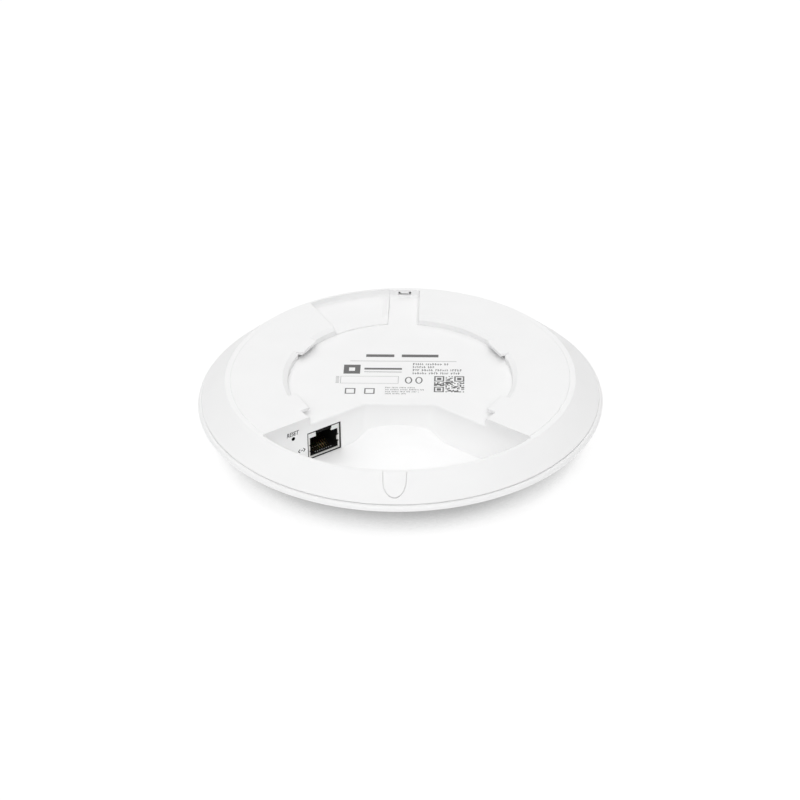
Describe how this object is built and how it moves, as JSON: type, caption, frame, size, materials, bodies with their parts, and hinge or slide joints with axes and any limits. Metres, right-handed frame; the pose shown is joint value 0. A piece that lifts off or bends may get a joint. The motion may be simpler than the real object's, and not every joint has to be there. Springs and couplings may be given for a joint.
{
  "type": "ceiling access point",
  "caption": "Round white ceiling access point with a domed front, a bayonet bracket recess in its back and a cable pocket with a network jack.",
  "frame": {"origin": "centre of the flat middle of the domed front, which is the lowest point of the part as it lies", "axes": "+Z out of the flat back ring towards the ceiling, +Y towards the lock channel, -Y towards the cable pocket"},
  "size_m": [0.16, 0.16, 0.0327],
  "materials": {
    "back_plastic": "fine satin moulded surface",
    "front_plastic": "fine satin moulded surface",
    "diffuser": "translucent diffuser",
    "clear_plastic": "clear moulded",
    "tinned_steel": "tin plated sheet",
    "black_plastic": "glass filled nylon",
    "gold_plate": "gold plated wire",
    "light_pipe": "milky clear",
    "switch_plunger": "smooth",
    "circuit_board": "solder mask",
    "zinc_steel": "zinc plated",
    "chip_package": "moulded epoxy",
    "ceramic": "fired ceramic",
    "thermal_pad": "soft silicone",
    "aluminium_plate": "brushed",
    "brass_parts": "turned",
    "ferrite": "ground ferrite",
    "winding_tape": "polyester tape",
    "capacitor_can": "sleeved can",
    "led_package": "moulded",
    "antenna_metal": "stamped sheet"
  },
  "bodies": {
    "housing": {"antenna_24ghz_1": "antenna_metal", "antenna_24ghz_2": "antenna_metal", "antenna_5ghz_1": "antenna_metal", "antenna_5ghz_2": "antenna_metal", "antenna_5ghz_3": "antenna_metal", "antenna_5ghz_4": "antenna_metal", "back_shell": "back_plastic", "board_screws": "zinc_steel", "bridge_rectifiers": "chip_package", "bulk_capacitors": "capacitor_can", "centre_cap": "front_plastic", "crystals": "tinned_steel", "ethernet_magnetics": "chip_package", "ethernet_phy": "chip_package", "flash_chip": "chip_package", "front_cover": "front_plastic", "heat_spreader": "aluminium_plate", "jack_contacts": "gold_plate", "jack_gasket": "black_plastic", "jack_housing": "black_plastic", "jack_light_pipes": "light_pipe", "jack_shield": "tinned_steel", "light_guide": "clear_plastic", "light_ring": "diffuser", "main_board": "circuit_board", "memory_chips": "chip_package", "plate_screws": "zinc_steel", "plate_standoffs": "brass_parts", "poe_transformer_core": "ferrite", "poe_transformer_winding": "winding_tape", "power_controller": "chip_package", "power_inductors": "ferrite", "processor": "chip_package", "radio_chip_24ghz": "chip_package", "radio_chip_5ghz": "chip_package", "reset_switch_body": "black_plastic", "reset_switch_cover": "tinned_steel", "shield_can_24ghz": "tinned_steel", "shield_can_5ghz": "tinned_steel", "shield_can_processor": "tinned_steel", "small_passives": "ceramic", "status_leds": "led_package", "thermal_pads": "thermal_pad"},
    "reset_plunger": {"reset_button": "switch_plunger"},
    "slot_cover": {"cable_slot_cover": "back_plastic"}
  },
  "joints": [
    {"name": "reset_press", "type": "slide", "parent": "housing", "child": "reset_plunger", "axis": [-0.5948, 0.8039, 0], "range_m": [0, 0.0003], "stiffness_N_per_m": 1500},
    {"name": "cover_pull", "type": "slide", "parent": "housing", "child": "slot_cover", "axis": [0, 0, 1], "range_m": [0, 0.008]}
  ]
}
